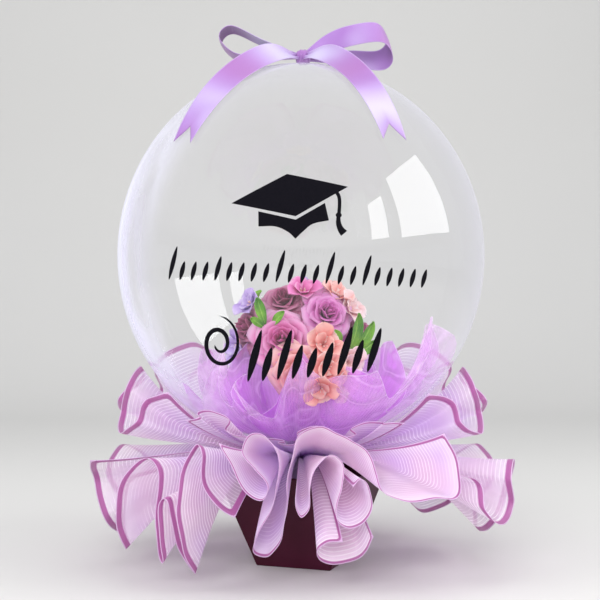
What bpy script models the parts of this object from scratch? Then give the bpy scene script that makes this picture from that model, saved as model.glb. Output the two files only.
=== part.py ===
"""Clear bubble balloon on a small square pot.

A sealed film bubble stands with its gathered neck in a tapered square pot. Ribbed gauze sheets are
gathered round the neck and ruffle out as a collar, some up against the balloon and some down over the
pot. A satin ribbon is tied in a bow on the balloon's top.

Metres, +Z up, front towards -Y. The origin is the centre of the pot's underside.
"""

import math

import bmesh
import bpy
import numpy as np

# Clearance between pieces that touch
GAP = 0.0003

# Pot: a square tapered box, open at the top, turned a little from the balloon's front
POT_BASE = 0.084
POT_RIM = 0.149
POT_HEIGHT = 0.100
POT_WALL = 0.002
POT_EDGE_ROUNDING = 0.0015
POT_TURN = math.radians(19.3)

# Balloon: a slightly tall ball with a gathered neck that stands on the pot's floor
BALLOON_WIDTH = 0.400
BALLOON_HEIGHT = 0.420
BALLOON_LIFT = 0.0244
BALLOON_SHIFT = -0.0055
NECK_TOP_RADIUS = 0.0185
NECK_WAIST_RADIUS = 0.0155
NECK_FOOT_RADIUS = 0.0225
NECK_JOIN_ANGLE = 0.160
BALLOON_SIDES = 32
BALLOON_RINGS = 15

# Collar: cloth, the ring where it is gathered, and how the lowest fold falls over the pot's rim
CLOTH = 0.0010
BALLOON_CLEAR = 0.006
RING_RADIUS = 0.046
RING_LIFT = 0.009
TUCK_DEPTH = 0.045
TUCK_NARROWING = 0.78
FALL_START = math.radians(22)
FALL_END = math.radians(-97)
FALL_RUN = 0.71
FALL_SHARPNESS = 1.3
TABLE_LIFT = 0.006
TABLE_SOFTNESS = 0.010
FOLD_SHOULDER = 0.28
FOLD_FULLNESS = 0.64
COLLAR_REACH = 0.200
THREAD_STEP = 0.060

# Ribbon bow
RIBBON_WIDTH = 0.028
RIBBON_THICKNESS = 0.0012
KNOT_SIZE = (0.0085, 0.0095, 0.0085)
KNOT_SHIFT = 0.0025
TAIL_LIFT = 0.0028
TAIL_SPAN = 1.03
TAIL_TWIST = 0.72
NOTCH_DEPTH = 0.019

BALLOON_MIDDLE = POT_HEIGHT + BALLOON_LIFT + BALLOON_HEIGHT / 2
BALLOON_TOP = BALLOON_MIDDLE + BALLOON_HEIGHT / 2


def clear_scene():
    for thing in list(bpy.data.objects):
        bpy.data.objects.remove(thing)


def collection(name):
    group = bpy.data.collections.new(name)
    bpy.context.scene.collection.children.link(group)
    return group


def material(name, colour, roughness, metallic=0.0, alpha=1.0):
    made = bpy.data.materials.new(name)
    made.use_nodes = True
    shader = made.node_tree.nodes["Principled BSDF"]
    shader.inputs["Base Color"].default_value = (*colour, 1.0)
    shader.inputs["Roughness"].default_value = roughness
    shader.inputs["Metallic"].default_value = metallic
    shader.inputs["Alpha"].default_value = alpha
    return made


def new_object(name, mesh, group, finish):
    thing = bpy.data.objects.new(name, mesh)
    group.objects.link(thing)
    if finish is not None:
        mesh.materials.append(finish)
    return thing


def grid_mesh(name, points):
    """A quad mesh from an array of points, rows by columns."""
    rows, columns = points.shape[:2]
    index = np.arange(rows * columns).reshape(rows, columns)
    faces = np.stack([index[:-1, :-1], index[:-1, 1:], index[1:, 1:], index[1:, :-1]], axis=-1)
    mesh = bpy.data.meshes.new(name)
    mesh.from_pydata(points.reshape(-1, 3).tolist(), [], faces.reshape(-1, 4).tolist())
    return mesh


def thicken(thing, thickness, offset=0.0):
    solid = thing.modifiers.new("thickness", "SOLIDIFY")
    solid.thickness = thickness
    solid.offset = offset
    return solid


def curve_through(points, steps):
    """A smooth curve through the points (Catmull-Rom), steps samples to each stretch."""
    keys = np.asarray(points, dtype=float)
    ends = np.vstack([2 * keys[0] - keys[1], keys, 2 * keys[-1] - keys[-2]])
    along = np.linspace(0, len(keys) - 1, (len(keys) - 1) * steps + 1)
    first = np.minimum(along.astype(int), len(keys) - 2)
    t = (along - first)[:, None]
    p0, p1, p2, p3 = (ends[first + k] for k in range(4))
    bend = 2 * p0 - 5 * p1 + 4 * p2 - p3
    twist = -p0 + 3 * p1 - 3 * p2 + p3
    return 0.5 * (2 * p1 + (p2 - p0) * t + bend * t**2 + twist * t**3)


# Pot


def pot(group):
    """A tapered open box: five faces between the base and rim squares, given their wall by Solidify."""
    mesh = bpy.data.meshes.new("pot")
    shell = bmesh.new()
    bmesh.ops.create_cube(shell, size=1.0)
    for corner in shell.verts:
        side = POT_RIM if corner.co.z > 0 else POT_BASE
        height = POT_HEIGHT if corner.co.z > 0 else 0.0
        corner.co = (corner.co.x * side, corner.co.y * side, height)
    lid = [face for face in shell.faces if all(corner.co.z > 0 for corner in face.verts)]
    bmesh.ops.delete(shell, geom=lid, context="FACES_ONLY")
    shell.to_mesh(mesh)
    shell.free()
    card = material("pot card", (0.048, 0.007, 0.018), 0.62)
    thing = new_object("pot", mesh, group, card)
    thing.rotation_euler = (0, 0, -POT_TURN)
    wall = thicken(thing, POT_WALL, -1.0)
    wall.use_even_offset = True
    rounding = thing.modifiers.new("rounded edges", "BEVEL")
    rounding.width = min(POT_EDGE_ROUNDING, POT_WALL * 0.4)
    rounding.segments = 1
    return thing


# Balloon


def balloon_profile():
    """Radius and height from the top down: an ellipse, then a smooth run into the neck and its foot."""
    half_width = BALLOON_WIDTH / 2
    half_height = BALLOON_HEIGHT / 2
    angle = np.linspace(0, math.pi - NECK_JOIN_ANGLE, BALLOON_RINGS + 1)
    ball = np.stack([half_width * np.sin(angle), BALLOON_MIDDLE + half_height * np.cos(angle)], axis=1)
    join_radius, join_height = ball[-1]
    foot = POT_WALL + GAP
    neck_length = join_height - foot
    neck = [
        (NECK_TOP_RADIUS + (join_radius - NECK_TOP_RADIUS) * 0.35, join_height - neck_length * 0.03),
        (NECK_TOP_RADIUS, join_height - neck_length * 0.10),
        (NECK_WAIST_RADIUS, join_height - neck_length * 0.35),
        (NECK_WAIST_RADIUS, join_height - neck_length * 0.70),
        (NECK_FOOT_RADIUS, foot),
        (0.0, foot),
    ]
    return np.vstack([ball, neck])


def balloon(group):
    profile = balloon_profile()
    points = [(radius, 0.0, height) for radius, height in profile]
    edges = [(k, k + 1) for k in range(len(points) - 1)]
    mesh = bpy.data.meshes.new("balloon")
    mesh.from_pydata(points, edges, [])
    film = material("clear film", (0.93, 0.94, 0.96), 0.05, alpha=0.25)
    thing = new_object("balloon", mesh, group, film)
    thing.location = (BALLOON_SHIFT, 0, 0)
    turning = thing.modifiers.new("turned", "SCREW")
    turning.steps = BALLOON_SIDES
    turning.render_steps = BALLOON_SIDES
    turning.use_merge_vertices = True
    turning.merge_threshold = 0.0001
    return thing


# Collar


def fall_heading(distance):
    """Slope of the lowest cloth at a distance from the ring: out and up, then over the rim and down."""
    run = FALL_RUN * POT_RIM / math.sqrt(2)
    return FALL_END + (FALL_START - FALL_END) * np.exp(-((distance / run) ** FALL_SHARPNESS))


def cloth_point(azimuth, lay, reach, samples=40):
    """Where a thread of the collar is, as arrays.

    azimuth is in degrees from the front, towards +X. lay is 1 for cloth that hugs the balloon's
    underside and 0 for cloth that falls over the pot. reach is the distance along the thread from the
    ring. The heading is mixed between the two by lay and summed along the thread, so that threads of
    one azimuth never cross. Cloth that would hang lower than the table bends out along it.
    """
    half_width = BALLOON_WIDTH / 2 + BALLOON_CLEAR
    half_height = BALLOON_HEIGHT / 2 + BALLOON_CLEAR
    share = np.linspace(0, 1, samples)
    distance = reach[..., None] * share
    hug = NECK_JOIN_ANGLE + distance * 2 / (half_width + half_height)
    fall = fall_heading(distance)
    heading = fall + (hug - fall) * lay[..., None]
    step = reach / (samples - 1)
    out = np.cos(heading)
    up = np.sin(heading)
    radius = ((out[..., 1:] + out[..., :-1]) / 2).sum(axis=-1) * step
    height = ((up[..., 1:] + up[..., :-1]) / 2).sum(axis=-1) * step
    ring_radius, ring_height = ring_point(lay)
    radius = radius + ring_radius
    over = height + ring_height - TABLE_LIFT
    height = TABLE_LIFT + (over + np.sqrt(over**2 + TABLE_SOFTNESS**2)) / 2
    return around(azimuth, radius, height)


def ring_point(lay):
    """Radius and height of the gathered ring: lay 0 is outside and low, lay 1 inside and high."""
    half_width = BALLOON_WIDTH / 2 + BALLOON_CLEAR
    half_height = BALLOON_HEIGHT / 2 + BALLOON_CLEAR
    inner = half_width * math.sin(NECK_JOIN_ANGLE)
    upper = BALLOON_MIDDLE - half_height * math.cos(NECK_JOIN_ANGLE)
    lower = POT_HEIGHT + RING_LIFT
    return RING_RADIUS + (inner - RING_RADIUS) * lay, lower + (upper - lower) * lay


def around(azimuth, radius, height):
    angle = np.radians(azimuth)
    return np.stack([BALLOON_SHIFT + radius * np.sin(angle), -radius * np.cos(angle), height], axis=-1)


def even_folds(start, end, count, lays, reaches):
    """Folds at even azimuths whose lay alternates, with a reach that grows evenly along the sheet."""
    folds = []
    for k in range(count):
        share = k / (count - 1)
        azimuth = start + (end - start) * share
        reach = reaches[0] + (reaches[1] - reaches[0]) * share
        folds.append((azimuth, lays[k % 2], reach))
    return folds


def folded(folds):
    """The hem's points for a row of folds.

    Each fold has a shoulder on each side of its tip, FOLD_FULLNESS of the way to the next fold, so that
    neighbouring folds bulge past each other.
    """
    keys = []
    for k, fold in enumerate(folds):
        azimuth, lay, share = fold
        for side in (-1, 0, 1):
            if side == 0:
                keys.append(fold)
            elif 0 <= k + side < len(folds):
                near = folds[k + side]
                keys.append((
                    azimuth + FOLD_FULLNESS * (near[0] - azimuth),
                    lay + FOLD_SHOULDER * (near[1] - lay),
                    share + FOLD_SHOULDER * (near[2] - share),
                ))
    return keys


# Along a sheet's hem, each point or fold is its azimuth in degrees, its lay and its share of the reach
SHEETS = {
    "wrap_front_left": [
        (-66.0, 0.56, 0.80),
        (-64.0, 0.38, 0.92),
        (-59.0, 0.33, 0.97),
        (-56.0, 0.45, 0.97),
        (-53.0, 0.59, 0.92),
        (-48.5, 0.66, 0.84),
        (-45.5, 0.60, 0.80),
        (-44.5, 0.46, 0.86),
        (-43.5, 0.31, 0.95),
        (-41.0, 0.34, 0.95),
        (-41.0, 0.50, 0.88),
        (-38.5, 0.50, 0.86),
        (-38.5, 0.32, 0.88),
        (-37.0, 0.19, 0.90),
        (-35.5, 0.32, 0.90),
        (-35.5, 0.50, 0.86),
        (-36.0, 0.66, 0.78),
        (-34.0, 0.745, 0.75),
        (-31.5, 0.70, 0.75),
        (-30.5, 0.55, 0.75),
        (-27.0, 0.46, 0.74),
        (-22.0, 0.37, 0.71),
    ],
    "wrap_front_right": [
        (-25.5, 0.76, 0.75),
        (-22.0, 0.68, 0.75),
        (-16.0, 0.53, 0.75),
        (-11.5, 0.50, 0.75),
        (-10.0, 0.57, 0.75),
        (-13.5, 0.65, 0.75),
        (-18.0, 0.72, 0.75),
        (-16.0, 0.80, 0.75),
        (-11.0, 0.80, 0.75),
        (-7.0, 0.72, 0.75),
        (-7.0, 0.57, 0.75),
        (-10.0, 0.42, 0.75),
        (-15.5, 0.27, 0.75),
        (-16.5, 0.17, 0.75),
        (-12.0, 0.15, 0.75),
        (-7.5, 0.25, 0.75),
        (-4.5, 0.42, 0.75),
        (-4.0, 0.58, 0.75),
        (-2.5, 0.72, 0.75),
        (0.0, 0.81, 0.75),
        (6.0, 0.85, 0.75),
        (11.0, 0.81, 0.75),
        (15.5, 0.78, 0.75),
        (20.0, 0.73, 0.75),
        (23.0, 0.62, 0.75),
        (24.5, 0.54, 0.78),
        (29.0, 0.52, 0.84),
        (36.0, 0.54, 0.92),
        (42.5, 0.55, 0.95),
        (42.0, 0.65, 0.95),
        (39.0, 0.75, 0.94),
    ],
    "wrap_front_middle": [
        (-1.0, 0.58, 0.81),
        (-1.5, 0.50, 0.81),
        (0.0, 0.455, 0.81),
        (2.0, 0.49, 0.81),
        (2.5, 0.57, 0.81),
        (4.0, 0.66, 0.81),
        (8.0, 0.71, 0.81),
        (11.5, 0.67, 0.81),
        (11.5, 0.59, 0.81),
        (9.8, 0.51, 0.81),
        (10.5, 0.44, 0.81),
        (14.0, 0.40, 0.81),
        (18.0, 0.42, 0.81),
        (20.0, 0.49, 0.81),
        (19.0, 0.58, 0.81),
        (16.5, 0.61, 0.81),
        (14.5, 0.58, 0.81),
    ],
    "wrap_front_foot": [
        (13.0, 0.31, 0.79),
        (8.0, 0.31, 0.79),
        (5.0, 0.26, 0.79),
        (7.0, 0.19, 0.79),
        (12.0, 0.15, 0.79),
        (19.0, 0.18, 0.79),
        (21.5, 0.26, 0.80),
        (22.0, 0.35, 0.81),
    ],
    "wrap_front_high": folded([
        (-49, 0.90, 0.650),
        (-39, 1.00, 0.625),
        (-27, 0.89, 0.500),
        (-17, 1.00, 0.360),
        (-6, 0.92, 0.350),
        (5, 1.02, 0.490),
        (19, 0.90, 0.460),
        (31, 1.00, 0.525),
        (44, 0.90, 0.625),
    ]),
    "wrap_right_low": folded([
        (49, 0.60, 0.84),
        (62, 0.44, 1.03),
        (74, 0.62, 0.98),
        (94, 0.30, 0.95),
        (114, 0.61, 0.96),
        (132, 0.30, 0.95),
        (149, 0.60, 0.95),
    ]),
    "wrap_left_low": folded(even_folds(-76, -150, 5, (0.61, 0.30), (0.96, 0.95))),
    "wrap_back": folded(even_folds(154, 206, 5, (0.60, 0.28), (0.95, 0.95))),
    "wrap_left_high": folded(even_folds(-56, -176, 7, (0.98, 0.73), (0.76, 1.16))),
    "wrap_right_high": folded(even_folds(52, 176, 7, (0.98, 0.73), (0.76, 1.16))),
}


def hem_line(keys, steps):
    """Azimuth, lay and reach along a sheet's hem."""
    azimuth, lay, share = curve_through(keys, steps).T
    return azimuth, lay, COLLAR_REACH * share


def sheet(name, keys, group, finish):
    """A gathered sheet: threads from inside the pot up to the ring, then out to the hem."""
    azimuth, lay, reach = hem_line(keys, 2)
    ring_radius, ring_height = ring_point(lay)
    tucked = around(azimuth, ring_radius * TUCK_NARROWING, ring_height - TUCK_DEPTH)
    stretches = max(3, round(reach.max() / THREAD_STEP))
    rows = [tucked]
    for k in range(stretches + 1):
        rows.append(cloth_point(azimuth, lay, reach * k / stretches))
    thing = new_object(name, grid_mesh(name, np.stack(rows)), group, finish)
    thicken(thing, CLOTH)
    return thing


# Ribbon bow


def ribbon_strip(name, middle, across, group, notch=0.0):
    """A strip of three threads: a middle line with a half-width vector at each point.

    A notch pulls the middle thread back from the end by its depth.
    """
    rows = np.stack([middle - across, middle, middle + across], axis=1)
    if notch:
        run = rows[-1, 1] - rows[-2, 1]
        rows[-1, 1] -= run * notch / np.linalg.norm(run)
    thing = new_object(name, grid_mesh(name, rows), group, None)
    thicken(thing, RIBBON_THICKNESS)
    thing.hide_render = True
    thing.display_type = "WIRE"
    return thing


def half_widths(count, narrow_end):
    """Half the ribbon's width along a strip that is pinched at its start, and at its end if asked."""
    share = np.linspace(0, 1, count)
    pinch = np.exp(-((share / 0.13) ** 2))
    if narrow_end:
        pinch = pinch + np.exp(-(((1 - share) / 0.13) ** 2))
    return RIBBON_WIDTH / 2 * (1 - 0.62 * pinch)


def knot_middle():
    return np.array([BALLOON_SHIFT + KNOT_SHIFT, -0.002, BALLOON_TOP + GAP + KNOT_SIZE[2]])


def loop(name, offsets, across, steps, group):
    """A loop of ribbon: a smooth closed run through offsets from the knot."""
    middle = curve_through([knot_middle() + np.array(offset) for offset in offsets], steps)
    direction = np.array(across) / np.linalg.norm(across)
    widths = half_widths(len(middle), True)[:, None] * direction
    return ribbon_strip(name, middle, widths, group)


def tail(name, azimuths, group):
    """A tail from the knot down over the balloon's shoulder, between two azimuths in degrees.

    It leaves the knot twisted towards the front and lies flatter on the film at its end.
    """
    count = 12
    share = np.linspace(0, 1, count)
    azimuth = azimuths[0] + (azimuths[1] - azimuths[0]) * share
    angle = 0.03 + (TAIL_SPAN - 0.03) * share
    radius = BALLOON_WIDTH / 2 * np.sin(angle)
    on_film = around(azimuth, radius, BALLOON_MIDDLE + BALLOON_HEIGHT / 2 * np.cos(angle))
    turn = np.radians(azimuth)
    outward = np.stack([np.sin(turn) * np.sin(angle), -np.cos(turn) * np.sin(angle), np.cos(angle)], axis=1)
    twist = (TAIL_TWIST * (1 - share**3))[:, None]
    facing = outward * (1 - twist) + np.array([0.0, -1.0, 0.0]) * twist
    across = np.cross(facing, np.gradient(on_film, axis=0))
    across = across / np.linalg.norm(across, axis=1)[:, None] * half_widths(count, False)[:, None]
    lean = np.abs((across * outward).sum(axis=1))
    lift = TAIL_LIFT + lean + 0.003 * np.exp(-((share / 0.25) ** 2))
    middle = on_film + outward * lift[:, None]
    return ribbon_strip(name, middle, across, group, NOTCH_DEPTH)


def ribbon_bow(group, cutters):
    mesh = bpy.data.meshes.new("ribbon_bow")
    ball = bmesh.new()
    bmesh.ops.create_uvsphere(ball, u_segments=14, v_segments=8, radius=1.0)
    bmesh.ops.scale(ball, vec=KNOT_SIZE, verts=ball.verts)
    bmesh.ops.translate(ball, vec=knot_middle().tolist(), verts=ball.verts)
    ball.to_mesh(mesh)
    ball.free()
    satin = material("lilac satin", (0.55, 0.33, 0.75), 0.30)
    thing = new_object("ribbon_bow", mesh, group, satin)
    left_run = [
        (0, 0, 0),
        (-0.044, 0.000, 0.016),
        (-0.078, 0.002, 0.031),
        (-0.091, 0.004, 0.019),
        (-0.072, 0.004, 0.001),
        (-0.034, 0.002, 0.001),
        (0, 0, 0),
    ]
    right_run = [
        (0, 0, 0),
        (0.024, -0.004, 0.013),
        (0.052, -0.010, 0.022),
        (0.084, -0.006, 0.026),
        (0.096, 0.010, 0.012),
        (0.086, 0.020, 0.001),
        (0.050, 0.016, 0.002),
        (0, 0, 0),
    ]
    strips = [
        loop("left loop", left_run, (0.05, 1.0, -0.12), 3, cutters),
        loop("right loop", right_run, (0.22, -0.45, -0.86), 3, cutters),
        tail("left tail", (-31, -43), cutters),
        tail("right tail", (30, 32), cutters),
    ]
    for strip in strips:
        joining = thing.modifiers.new(strip.name, "BOOLEAN")
        joining.operation = "UNION"
        joining.solver = "EXACT"
        joining.object = strip
    return thing


def main():
    clear_scene()
    group = collection("clear bubble balloon")
    cutters = collection("ribbon strips")
    pot(group)
    balloon(group)
    gauze = (0.72, 0.52, 0.76)
    for name, keys in SHEETS.items():
        sheet(name, keys, group, material(name + " gauze", gauze, 0.75))
    ribbon_bow(group, cutters)


main()
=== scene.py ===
"""Looks for the clear bubble balloon: film, gauze collar, satin bow, and what is sealed in the film.

Every piece is a surface worked out on a grid of two parameters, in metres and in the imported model's
frame: +Z up, front towards -Y, origin at the centre of the pot's underside.
"""

import math

import bmesh
import bpy
import numpy as np
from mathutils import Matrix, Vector


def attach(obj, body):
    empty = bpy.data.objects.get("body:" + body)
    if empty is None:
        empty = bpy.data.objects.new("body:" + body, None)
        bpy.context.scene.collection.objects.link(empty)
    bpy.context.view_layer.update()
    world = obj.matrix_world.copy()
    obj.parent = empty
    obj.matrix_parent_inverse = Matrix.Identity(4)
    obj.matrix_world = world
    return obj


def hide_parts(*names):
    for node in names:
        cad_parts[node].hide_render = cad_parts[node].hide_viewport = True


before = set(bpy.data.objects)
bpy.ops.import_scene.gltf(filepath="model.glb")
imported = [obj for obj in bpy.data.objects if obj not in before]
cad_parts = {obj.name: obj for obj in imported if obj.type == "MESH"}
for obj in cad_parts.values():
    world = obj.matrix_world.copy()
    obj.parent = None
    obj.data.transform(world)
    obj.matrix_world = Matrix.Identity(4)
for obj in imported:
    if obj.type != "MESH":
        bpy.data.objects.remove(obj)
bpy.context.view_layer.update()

# Driving sizes, as in the part's source
POT_RIM = 0.149
POT_HEIGHT = 0.100
POT_WALL = 0.002
GAP = 0.0003
BALLOON_WIDTH = 0.400
BALLOON_HEIGHT = 0.420
BALLOON_LIFT = 0.0244
BALLOON_SHIFT = -0.0055
NECK_TOP_RADIUS = 0.0185
NECK_WAIST_RADIUS = 0.0155
NECK_FOOT_RADIUS = 0.0225
NECK_JOIN_ANGLE = 0.160
BALLOON_CLEAR = 0.006
RING_RADIUS = 0.046
RING_LIFT = 0.009
TUCK_DEPTH = 0.045
TUCK_NARROWING = 0.78
FALL_START = math.radians(22)
FALL_END = math.radians(-97)
FALL_RUN = 0.71
FALL_SHARPNESS = 1.3
TABLE_LIFT = 0.006
TABLE_SOFTNESS = 0.010
FOLD_SHOULDER = 0.28
FOLD_FULLNESS = 0.64
COLLAR_REACH = 0.200
RIBBON_WIDTH = 0.028
KNOT_SIZE = (0.0085, 0.0095, 0.0085)
KNOT_SHIFT = 0.0025
TAIL_LIFT = 0.0028
TAIL_SPAN = 1.03
TAIL_TWIST = 0.72
NOTCH_DEPTH = 0.019
BALLOON_MIDDLE = POT_HEIGHT + BALLOON_LIFT + BALLOON_HEIGHT / 2
BALLOON_TOP = BALLOON_MIDDLE + BALLOON_HEIGHT / 2
BALLOON_CENTRE = np.array([BALLOON_SHIFT, 0.0, BALLOON_MIDDLE])
BALLOON_HALF = np.array([BALLOON_WIDTH, BALLOON_WIDTH, BALLOON_HEIGHT]) / 2

# Half sizes of the ball that the highest cloth hugs
HUG_HALF_WIDTH = BALLOON_WIDTH / 2 + BALLOON_CLEAR
HUG_HALF_HEIGHT = BALLOON_HEIGHT / 2 + BALLOON_CLEAR

# Thicknesses of thin pieces
GAUZE_THICKNESS = 0.0004
RIBBON_THICKNESS = 0.0005
PETAL_THICKNESS = 0.0004
VINYL_THICKNESS = 0.0002

# Cloth: its ribs and threads, the pleats at its ring and the ripple along its hem
RIB_SPACING = 0.0043
THREAD_SPACING = 0.0011
DENSE_HEM = 0.0029
SHEER_HEM = 0.0064
PLEAT_DEPTH = 0.0011
PLEAT_SPACING = 0.017
RIPPLE_DEPTH = 0.0007
RIPPLE_SPACING = 0.043
NET_SPACING = 0.0016

# Ribbon: its crown, the folds near its knot, and how its painted sheen and painted plum shade come round
# along it
RIBBON_CROWN = 0.0009
RIBBON_FOLDS = 0.0013
PAINTED_LIGHT_SPACING = 0.14
PAINTED_SHEEN_START = 0.035
PAINTED_SHADE_START = 0.105

GOLDEN_ANGLE = math.radians(137.5)
PETAL_SLIMNESS = 0.72


# Surfaces


def build(name, grids, finish, uvs=None, tones=None, closed=False, thickness=0.0):
    """A mesh from grids of points (rows, columns, 3), with a UV map and a tone for each point.

    closed merges the points that coincide, at seams and poles, and turns the faces outwards.
    thickness gives an open surface its wall with Solidify.
    """
    faces, start = [], 0
    for grid in grids:
        rows, columns = grid.shape[:2]
        index = start + np.arange(rows * columns).reshape(rows, columns)
        quads = joined(index[:-1, :-1], index[:-1, 1:], index[1:, 1:], index[1:, :-1])
        faces.append(quads.reshape(-1, 4))
        start += rows * columns
    points = np.concatenate([grid.reshape(-1, 3) for grid in grids])
    mesh = bpy.data.meshes.new(name)
    mesh.from_pydata(points.tolist(), [], np.concatenate(faces).tolist())
    corner = np.empty(len(mesh.loops), dtype=int)
    mesh.loops.foreach_get("vertex_index", corner)
    flat_uv = np.concatenate([uv.reshape(-1, 2) for uv in (uvs or [unit_uv(grid) for grid in grids])])
    mesh.uv_layers.new(name="UVMap").data.foreach_set("uv", flat_uv[corner].ravel())
    if tones is not None:
        tone = mesh.attributes.new("tone", "FLOAT", "POINT")
        tone.data.foreach_set("value", np.concatenate([np.ravel(part) for part in tones]))
    if closed:
        shell = bmesh.new()
        shell.from_mesh(mesh)
        bmesh.ops.remove_doubles(shell, verts=shell.verts, dist=1e-6)
        bmesh.ops.recalc_face_normals(shell, faces=shell.faces)
        shell.to_mesh(mesh)
        shell.free()
    mesh.shade_smooth()
    mesh.materials.append(finish)
    piece = bpy.data.objects.new(name, mesh)
    bpy.context.scene.collection.objects.link(piece)
    if thickness:
        wall = piece.modifiers.new("thickness", "SOLIDIFY")
        wall.thickness = thickness
        wall.offset = 0.0
    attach(piece, "root")
    return piece


def unit_uv(grid):
    """0 to 1 along the columns and 0 to 1 along the rows."""
    rows, columns = grid.shape[:2]
    return joined(np.linspace(0, 1, columns), np.linspace(0, 1, rows)[:, None])


def curve_through(points, steps):
    """A smooth curve through the points (Catmull-Rom), steps samples to each stretch."""
    keys = np.asarray(points, dtype=float)
    ends = np.vstack([2 * keys[0] - keys[1], keys, 2 * keys[-1] - keys[-2]])
    along = np.linspace(0, len(keys) - 1, (len(keys) - 1) * steps + 1)
    first = np.minimum(along.astype(int), len(keys) - 2)
    t = (along - first)[:, None]
    p0, p1, p2, p3 = (ends[first + k] for k in range(4))
    bend = 2 * p0 - 5 * p1 + 4 * p2 - p3
    twist = -p0 + 3 * p1 - 3 * p2 + p3
    return 0.5 * (2 * p1 + (p2 - p0) * t + bend * t**2 + twist * t**3)


def around(azimuth, radius, height):
    """Points round the balloon's axis, azimuth in degrees from the front towards +X."""
    angle = np.radians(azimuth)
    return joined(BALLOON_SHIFT + radius * np.sin(angle), -radius * np.cos(angle), height)


def joined(*parts):
    """Arrays broadcast together, side by side along a new last axis: coordinates become points."""
    return np.stack(np.broadcast_arrays(*parts), axis=-1)


def unit(vectors):
    return vectors / np.linalg.norm(vectors, axis=-1, keepdims=True)


def grid_normals(grid):
    """The normal at each point of a grid: its change along rows crossed with that along columns."""
    return unit(np.cross(np.gradient(grid, axis=1), np.gradient(grid, axis=0)) + 1e-12)


def run_length(points):
    """Distance along a line of points, from 0."""
    steps = np.linalg.norm(np.diff(points, axis=0), axis=-1)
    return np.concatenate([[0.0], np.cumsum(steps)])


def tube(path, radii, sides):
    """A round tube along a path: a circle in the plane across the path at each of its points."""
    heading = unit(np.gradient(path, axis=0))
    across = unit(np.cross(heading, np.array([0.31, 0.88, 0.36])))
    over = np.cross(heading, across)
    turn = np.linspace(0, 2 * math.pi, sides + 1)
    ring = np.cos(turn)[None, :, None] * across[:, None] + np.sin(turn)[None, :, None] * over[:, None]
    return path[:, None] + ring * np.asarray(radii)[:, None, None]


def axes_facing(facing):
    """Two unit vectors across a direction, and the direction itself."""
    ahead = unit(np.array(facing, dtype=float))
    side = unit(np.cross(np.array([0.05, 0.02, 1.0]), ahead))
    return side, np.cross(ahead, side), ahead


# Materials


class Value:
    """A socket of a material's nodes. Sums, products and the like of it add Math nodes."""

    def __init__(self, finish, socket):
        self.finish = finish
        self.socket = socket

    def maths(self, operation, *values):
        return self.finish.node("ShaderNodeMath", {"operation": operation}, dict(enumerate(values)))

    def __add__(self, other):
        return self.maths("ADD", self, other)

    def __sub__(self, other):
        return self.maths("SUBTRACT", self, other)

    def __rsub__(self, other):
        return self.maths("SUBTRACT", other, self)

    def __mul__(self, other):
        return self.maths("MULTIPLY", self, other)

    def __pow__(self, other):
        return self.maths("POWER", self, other)

    def __abs__(self):
        return self.maths("ABSOLUTE", self)

    __radd__ = __add__
    __rmul__ = __mul__

    def wave(self, length):
        """0 to 1 and back over each length: half of 1 plus the cosine."""
        return 0.5 + 0.5 * self.maths("COSINE", self * (2 * math.pi / length))

    def rise(self, low, high):
        """0 below low and 1 above high, with a smooth step between."""
        settings = {"interpolation_type": "SMOOTHSTEP"}
        sockets = {"Value": self, "From Min": low, "From Max": high}
        return self.finish.node("ShaderNodeMapRange", settings, sockets)


class Finish:
    """A material being made. node() adds any node and gives back one of its outputs."""

    def __init__(self, name):
        self.material = bpy.data.materials.new(name)
        self.material.use_nodes = True
        self.tree = self.material.node_tree
        self.tree.nodes.clear()

    def node(self, kind, settings=None, sockets=None, result=0):
        made = self.tree.nodes.new(kind)
        for key, setting in (settings or {}).items():
            setattr(made, key, setting)
        for key, given in (sockets or {}).items():
            if isinstance(given, Value):
                self.tree.links.new(given.socket, made.inputs[key])
            else:
                made.inputs[key].default_value = given
        return Value(self, made.outputs[result])

    def place(self):
        return self.node("ShaderNodeTexCoord", result="Object")

    def map(self):
        """The piece's own UV map, as its two numbers."""
        uv = self.node("ShaderNodeUVMap", {"uv_map": "UVMap"})
        return [self.node("ShaderNodeSeparateXYZ", None, {0: uv}, k) for k in (0, 1)]

    def tone(self):
        return self.node("ShaderNodeAttribute", {"attribute_name": "tone"}, None, "Fac")

    def noise(self, scale, detail=3.0, where=None):
        sockets = {"Vector": where or self.place(), "Scale": scale, "Detail": detail}
        return self.node("ShaderNodeTexNoise", None, sockets)

    def mix(self, factor, first, second):
        """A colour between two."""
        return self.node("ShaderNodeMix", {"data_type": "RGBA"}, {0: factor, 6: first, 7: second}, 2)

    def bump(self, height, strength, distance):
        sockets = {"Height": height, "Strength": strength, "Distance": distance}
        return self.node("ShaderNodeBump", None, sockets)

    def principled(self, **sockets):
        named = {key.replace("_", " "): value for key, value in sockets.items()}
        return self.node("ShaderNodeBsdfPrincipled", None, named)

    def mixed(self, factor, first, second):
        return self.node("ShaderNodeMixShader", None, {0: factor, 1: first, 2: second})

    def sheer(self, surface, colour, relief, through, hidden):
        """Thin cloth: its surface, a share of light through it, and a share of what lies behind it."""
        glow = self.node("ShaderNodeBsdfTranslucent", None, {"Color": colour, "Normal": relief})
        clear = self.node("ShaderNodeBsdfTransparent", None, {"Color": rgb(1.0, 1.0, 1.0)})
        return self.mixed(hidden, clear, self.mixed(through, surface, glow))

    def done(self, shader):
        output = self.tree.nodes.new("ShaderNodeOutputMaterial")
        self.tree.links.new(shader.socket, output.inputs["Surface"])
        return self.material


def rgb(red, green, blue):
    return (red, green, blue, 1.0)


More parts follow.
